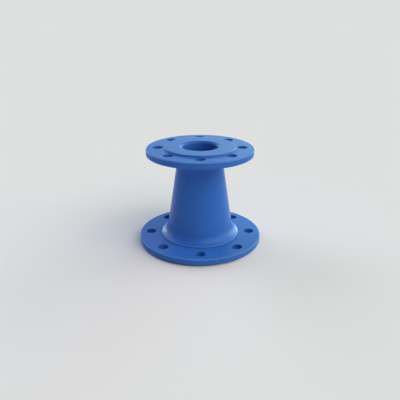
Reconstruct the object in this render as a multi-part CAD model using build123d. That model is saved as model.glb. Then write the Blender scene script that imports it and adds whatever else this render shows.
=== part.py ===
from build123d import *

import os
from math import hypot

# A concentric flanged reducer: one iron casting, a tapered neck with a pipe flange at each end.
# The origin is the centre of the large flange's sealing face, and +Z runs up to the small flange.
# All sizes are in millimetres, over the coating.

overall_length = 175.0  # sealing face to sealing face
neck_wall = 7.0  # square to the taper

large_bore = 100.0
large_straight = 37.5  # straight bore from the large face to the taper
large_bolts_from_bore = 40.0  # bore wall to bolt circle

small_bore = 61.0
small_straight = 12.5  # straight bore from the small face to the taper
small_bolts_from_bore = 42.0

bolt_hole = 17.5
bolt_count = 8
bolt_hole_chamfer = 0.5

rim_thickness = 11.0  # a flange's plate, without its raised face
rim_from_bolts = 20.0  # bolt circle to the flange's edge
rim_edge_radius = 2.0
bore_lip_radius = 5.0

face_height = 3.0  # the raised sealing face
face_slope = 1.5  # how far the raised face widens from its top to its foot
face_clearance = 1.25  # from the foot of the raised face to the bolt holes

neck_fillet = 20.0  # where the taper runs into the cast back of a flange
turned_off = 0.6  # cut off that back, to seat the nuts flat
shoulder_from_bolts = 20.0  # bolt circle to the shoulder where the cut ends, in the fillet
shoulder_edge_radius = 0.5

same_radius = 1e-6  # radii closer than this are one radius

# The bore narrows evenly between its straight ends, and the neck follows it at an even wall.
taper_start = large_straight
taper_end = overall_length - small_straight
taper = (large_bore - small_bore) / 2 / (taper_end - taper_start)


def neck_radius(height):
    """Outside of the taper at a height."""
    return small_bore / 2 + neck_wall * hypot(1, taper) + taper * (taper_end - height)


class End:
    """One flanged end: the heights of its planes, from face to cast back, and its radii."""

    def __init__(self, face, inward, bore, bolts_from_bore):
        self.face = face
        self.inward = inward
        self.front = face + inward * face_height
        self.back = self.front + inward * rim_thickness
        self.cast_back = self.back + inward * turned_off
        self.bore_radius = bore / 2
        self.bolt_radius = self.bore_radius + bolts_from_bore
        self.rim_radius = self.bolt_radius + rim_from_bolts
        self.shoulder_radius = self.bolt_radius - shoulder_from_bolts
        self.face_foot_radius = self.bolt_radius - bolt_hole / 2 - face_clearance
        self.face_radius = self.face_foot_radius - face_slope

    def corners(self):
        """Corners of the cast half section from the bore to the neck: radius, height, rounding."""
        return [
            (self.bore_radius, self.face, bore_lip_radius),
            (self.face_radius, self.face, 0),
            (self.face_foot_radius, self.front, 0),
            (self.rim_radius, self.front, rim_edge_radius),
            (self.rim_radius, self.cast_back, 0),
            (neck_radius(self.cast_back), self.cast_back, neck_fillet),
        ]

    def turn_back(self, section):
        """Turns the section's cast back down to the shoulder, then rounds the rim and the shoulder."""
        middle = (self.shoulder_radius + self.rim_radius) / 2
        with Locations((middle, self.back + self.inward * neck_fillet / 2)):
            Rectangle(self.rim_radius - self.shoulder_radius, neck_fillet, mode=Mode.SUBTRACT)
        rim_edge = section.vertices().sort_by_distance((self.rim_radius, self.back))[0]
        fillet(rim_edge, rim_edge_radius)
        shoulder = section.vertices().filter_by(
            lambda corner: abs(corner.X - self.shoulder_radius) < same_radius
        )
        shoulder_edge = shoulder.sort_by(lambda corner: corner.Y * self.inward)[-1]
        fillet(shoulder_edge, shoulder_edge_radius)


large_end = End(0, 1, large_bore, large_bolts_from_bore)
small_end = End(overall_length, -1, small_bore, small_bolts_from_bore)


def casting():
    """The section turned about the bore's axis, then drilled through both flanges."""
    bore_corners = [
        (small_end.bore_radius, taper_end, 0),
        (large_end.bore_radius, taper_start, 0),
    ]
    corners = large_end.corners() + small_end.corners()[::-1] + bore_corners
    outline = [(radius, height) for radius, height, _ in corners]
    roundings = [rounding for _, _, rounding in corners]
    with BuildPart() as body:
        with BuildSketch(Plane.XZ) as section:
            with BuildLine():
                FilletPolyline(outline, radius=roundings, close=True)
            make_face()
            for end in (large_end, small_end):
                end.turn_back(section)
        revolve(axis=Axis.Z)
        for end in (large_end, small_end):
            with BuildSketch(Plane.XY.offset(end.front)):
                with PolarLocations(end.bolt_radius, bolt_count):
                    Circle(bolt_hole / 2)
            extrude(amount=end.back - end.front, mode=Mode.SUBTRACT)
        circles = body.edges().filter_by(GeomType.CIRCLE)
        hole_edges = circles.filter_by(lambda edge: abs(edge.radius - bolt_hole / 2) < same_radius)
        chamfer(hole_edges, bolt_hole_chamfer)
    return body.part


reducer_casting = casting()

os.makedirs("parts", exist_ok=True)
export_step(reducer_casting, "parts/reducer_casting.step")
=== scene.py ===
import math

import bpy
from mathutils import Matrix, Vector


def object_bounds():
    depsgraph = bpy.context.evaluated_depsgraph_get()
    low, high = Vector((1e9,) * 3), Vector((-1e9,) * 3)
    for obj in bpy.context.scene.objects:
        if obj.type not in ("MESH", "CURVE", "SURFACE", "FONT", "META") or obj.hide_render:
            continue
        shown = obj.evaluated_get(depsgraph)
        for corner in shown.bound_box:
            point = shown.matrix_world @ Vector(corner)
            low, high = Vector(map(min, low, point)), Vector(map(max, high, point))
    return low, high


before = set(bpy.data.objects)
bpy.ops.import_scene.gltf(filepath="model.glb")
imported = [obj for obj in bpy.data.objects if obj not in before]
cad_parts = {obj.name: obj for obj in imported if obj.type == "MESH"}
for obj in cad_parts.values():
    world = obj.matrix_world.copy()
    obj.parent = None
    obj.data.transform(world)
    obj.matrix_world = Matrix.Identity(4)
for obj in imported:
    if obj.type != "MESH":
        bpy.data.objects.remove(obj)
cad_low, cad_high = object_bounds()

# The casting: one piece of ductile iron, cast in sand. Its flanges are turned and drilled, and the
# neck between them stays as cast. It was blasted, heated and dipped in epoxy powder, which melted
# into one even blue film over every face, the bore and the bolt holes too.


def linear(hex_colour):
    """A written sRGB colour as Blender's linear one."""
    channels = [int(hex_colour[i:i + 2], 16) / 255 for i in (1, 3, 5)]
    return [c / 12.92 if c <= 0.04045 else ((c + 0.055) / 1.055) ** 2.4 for c in channels] + [1.0]


def add_node(owner, kind, inputs, **settings):
    """Adds a shader node, with its settings, and its inputs set to values or linked to outputs."""
    tree = owner.node_tree
    node = tree.nodes.new("ShaderNode" + kind)
    for name, value in settings.items():
        setattr(node, name, value)
    for socket, value in inputs.items():
        if isinstance(value, bpy.types.NodeSocket):
            tree.links.new(value, node.inputs[socket])
        else:
            node.inputs[socket].default_value = value
    return node


def as_cast_area(coating, height):
    """One between the flanges, on the neck and in the bore, fading to zero at their turned backs."""
    lowest = 0.0150
    highest = 0.1595
    fade = 0.002
    above_foot = add_node(
        coating, "MapRange",
        {"Value": height, "From Min": lowest, "From Max": lowest + fade},
        interpolation_type="SMOOTHSTEP",
    ).outputs["Result"]
    below_head = add_node(
        coating, "MapRange",
        {"Value": height, "From Min": highest, "From Max": highest - fade},
        interpolation_type="SMOOTHSTEP",
    ).outputs["Result"]
    return add_node(
        coating, "Math", {0: above_foot, 1: below_head}, operation="MULTIPLY"
    ).outputs["Value"]


def painted_edge_highlight(coating, axes):
    """Painted highlight: how pale the film is painted along the edges that face up, none away from
    them.

    The edges are circles about the bore's axis, so each is a radius and a height, and a point's
    distance from it is measured in the half section. A real glint on such an edge is too fine to
    show, so the painted line is drawn wider.
    """
    foot_shoulder = (0.0700, 0.0162)
    large_rim = (0.1094, 0.0134)
    small_rim = (0.0919, 0.1714)
    raised_face = (0.0610, 0.1750)
    width = 0.0014
    highlight_strength = 0.4
    far_from_all = 1.0

    sideways = add_node(coating, "CombineXYZ", {"X": axes["X"], "Y": axes["Y"]}).outputs["Vector"]
    radius = add_node(coating, "VectorMath", {0: sideways}, operation="LENGTH").outputs["Value"]
    in_section = add_node(coating, "CombineXYZ", {"X": radius, "Z": axes["Z"]}).outputs["Vector"]
    nearest = far_from_all
    for edge_radius, edge_height in (foot_shoulder, large_rim, small_rim, raised_face):
        away = add_node(
            coating, "VectorMath", {0: in_section, 1: (edge_radius, 0, edge_height)},
            operation="DISTANCE",
        ).outputs["Value"]
        nearest = add_node(
            coating, "Math", {0: away, 1: nearest}, operation="MINIMUM"
        ).outputs["Value"]
    return add_node(
        coating, "MapRange",
        {"Value": nearest, "From Min": width, "From Max": 0.0, "To Max": highlight_strength},
    ).outputs["Result"]


def peel_and_sand(coating, place, as_cast):
    """The relief: orange peel all over and, where the skin is as cast, the lumps of the sand.

    Real peel and real sand are too fine to show, so both are drawn coarser.
    """
    peel_spacing = 0.0035
    peel_depth = 0.00004
    sand_spacing = 0.009
    sand_depth = 0.0002

    peel = add_node(
        coating, "TexNoise", {"Vector": place, "Scale": 1 / peel_spacing, "Detail": 1.0}
    ).outputs["Fac"]
    sand = add_node(
        coating, "TexNoise", {"Vector": place, "Scale": 1 / sand_spacing, "Detail": 2.0}
    ).outputs["Fac"]
    sand_relief = add_node(
        coating, "Bump", {"Strength": as_cast, "Distance": sand_depth, "Height": sand}
    ).outputs["Normal"]
    return add_node(
        coating, "Bump", {"Distance": peel_depth, "Height": peel, "Normal": sand_relief}
    ).outputs["Normal"]


def fusion_bonded_epoxy():
    """Satin powder coating, about 0.3 mm thick, on blasted ductile iron.

    It has a faint orange peel everywhere. On the neck and in the bore the sand's lumps also
    swell through it, and there the film lies thicker and shines more. The turned flanges are
    flatter and duller. The colour and the shine drift a little with the film's thickness, and
    the edges that face up carry a pale painted highlight in place of their glints.
    """
    thin_blue = "#2E65B8"
    thick_blue = "#346BBE"
    # Painted highlight: the pale blue laid along the up-facing edges in place of their glints.
    highlight_blue = "#8CB4EC"
    drift_spacing = 0.06
    turned_roughness = (0.43, 0.49)
    cast_roughness = (0.24, 0.30)
    film_ior = 1.5
    film_specular = 0.16

    coating = bpy.data.materials.new("fusion_bonded_blue_epoxy")
    coating.use_nodes = True
    coating.node_tree.nodes.clear()
    place = add_node(coating, "TexCoord", {}).outputs["Object"]
    axes = add_node(coating, "SeparateXYZ", {"Vector": place}).outputs
    as_cast = as_cast_area(coating, axes["Z"])
    # Painted highlight: a pale line along the edges that face up, standing in for their glints.
    edge_highlight = painted_edge_highlight(coating, axes)
    relief = peel_and_sand(coating, place, as_cast)

    drift = add_node(
        coating, "TexNoise", {"Vector": place, "Scale": 1 / drift_spacing, "Detail": 3.0}
    ).outputs["Fac"]
    film_blue = add_node(
        coating, "Mix", {"Factor": drift, "A": linear(thin_blue), "B": linear(thick_blue)},
        data_type="RGBA",
    ).outputs["Result"]
    # Mixes the painted edge highlight into the film's blue.
    blue = add_node(
        coating, "Mix", {"Factor": edge_highlight, "A": film_blue, "B": linear(highlight_blue)},
        data_type="RGBA",
    ).outputs["Result"]
    turned_sheen = add_node(
        coating, "MapRange",
        {"Value": drift, "To Min": turned_roughness[0], "To Max": turned_roughness[1]},
    ).outputs["Result"]
    cast_sheen = add_node(
        coating, "MapRange",
        {"Value": drift, "To Min": cast_roughness[0], "To Max": cast_roughness[1]},
    ).outputs["Result"]
    sheen = add_node(
        coating, "Mix", {"Factor": as_cast, "A": turned_sheen, "B": cast_sheen}, data_type="FLOAT"
    ).outputs["Result"]
    skin = add_node(
        coating, "BsdfPrincipled",
        {"Base Color": blue, "Roughness": sheen, "IOR": film_ior,
         "Specular IOR Level": film_specular, "Normal": relief},
    )
    add_node(coating, "OutputMaterial", {"Surface": skin.outputs["BSDF"]})
    return coating


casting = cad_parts["reducer_casting"]
casting.material_slots[0].material = fusion_bonded_epoxy()

# The floor: a wide sheet of studio paper that runs on past the view. It lies just under the large
# flange's face, clear of it. Its faint pink evens out the lamps' cool tints, so that it renders as
# a plain pale grey.


def matt_paper():
    """Pale uncoated paper, rough enough to have no shine at all."""
    pale_pink = "#F7EDED"
    paper_roughness = 0.9

    paper = bpy.data.materials.new("matt_paper")
    paper.use_nodes = True
    paper.node_tree.nodes.clear()
    sheet = add_node(
        paper, "BsdfPrincipled",
        {"Base Color": linear(pale_pink), "Roughness": paper_roughness, "Specular IOR Level": 0.0},
    )
    add_node(paper, "OutputMaterial", {"Surface": sheet.outputs["BSDF"]})
    return paper


bpy.ops.object.select_all(action="DESELECT")
floor_drop = 0.0002
floor_width = 60.0
bpy.ops.mesh.primitive_plane_add(size=floor_width, location=(0, 0, cad_low.z - floor_drop))
floor = bpy.context.object
floor.name = "studio_floor"
floor.data.materials.append(matt_paper())

# The light: seven wide, soft lamps in a dim, even room. The three strong ones shine from the
# right, front to back. The four weaker ones shine from behind, and they draw the left outline and
# lie along the top face.


def soft_lamp(name, azimuth, elevation, spread, strength, colour):
    """A wide, even lamp far off, by its bearing from the front and its height, in degrees."""
    lamp = bpy.data.lights.new(name, "SUN")
    lamp.angle = math.radians(spread)
    lamp.energy = strength
    lamp.color = linear(colour)[:3]
    holder = bpy.data.objects.new(name, lamp)
    holder.rotation_euler = (math.radians(90 - elevation), 0, math.radians(azimuth))
    bpy.context.scene.collection.objects.link(holder)


soft_lamp("front_right_lamp", azimuth=38, elevation=46, spread=50, strength=1.22, colour="#FFFFFF")
soft_lamp("right_lamp", azimuth=90, elevation=28, spread=60, strength=1.4, colour="#FAFFE4")
soft_lamp("back_right_lamp", azimuth=135, elevation=12, spread=45, strength=1.45, colour="#E4FFF4")
soft_lamp("left_lamp", azimuth=-125, elevation=30, spread=40, strength=0.82, colour="#E0F0FF")
soft_lamp("back_left_lamp", azimuth=-152, elevation=6, spread=28, strength=0.8, colour="#D0E8FF")
soft_lamp("back_lamp", azimuth=172, elevation=10, spread=30, strength=0.35, colour="#C0FFFF")
soft_lamp("low_back_lamp", azimuth=162, elevation=6, spread=20, strength=0.5, colour="#A0FFF8")

# The room fills the shadows a little. The camera and the coating's shine see a backdrop in its
# place, as pale as the floor.

room_tint = "#D0E0FF"
room_strength = 0.15
backdrop_grey = "#DEE0E0"
room = bpy.data.worlds.new("pale_room")
room.use_nodes = True
room.node_tree.nodes.clear()
ray = add_node(room, "LightPath", {}).outputs
seen_or_mirrored = add_node(
    room, "Math", {0: ray["Is Camera Ray"], 1: ray["Is Glossy Ray"]}, operation="MAXIMUM"
).outputs["Value"]
shown = add_node(
    room, "Math", {0: seen_or_mirrored, 1: ray["Is Transmission Ray"]}, operation="MAXIMUM"
).outputs["Value"]
fill = add_node(room, "Background", {"Color": linear(room_tint), "Strength": room_strength})
backdrop = add_node(room, "Background", {"Color": linear(backdrop_grey), "Strength": 1.0})
either = add_node(
    room, "MixShader",
    {"Fac": shown, 1: fill.outputs["Background"], 2: backdrop.outputs["Background"]},
)
add_node(room, "OutputWorld", {"Surface": either.outputs["Shader"]})
bpy.context.scene.world = room

# The camera: in front of the casting and above it, looking down on both flanges, where a pinhole
# camera fitted to the photograph stands. Its frame is shifted as the photograph's is.

camera_distance = 0.73675
camera_height = 0.36766
camera_pitch = 24.90
focal_length = 39.55
frame_shift = 0.0625
lens = bpy.data.cameras.new("camera")
lens.lens = focal_length
lens.shift_y = frame_shift
camera = bpy.data.objects.new("camera", lens)
camera.location = (0, -camera_distance, camera_height)
camera.rotation_euler = (math.radians(90 - camera_pitch), 0, 0)
bpy.context.scene.collection.objects.link(camera)
bpy.context.scene.camera = camera
bpy.context.scene.view_settings.view_transform = "Standard"
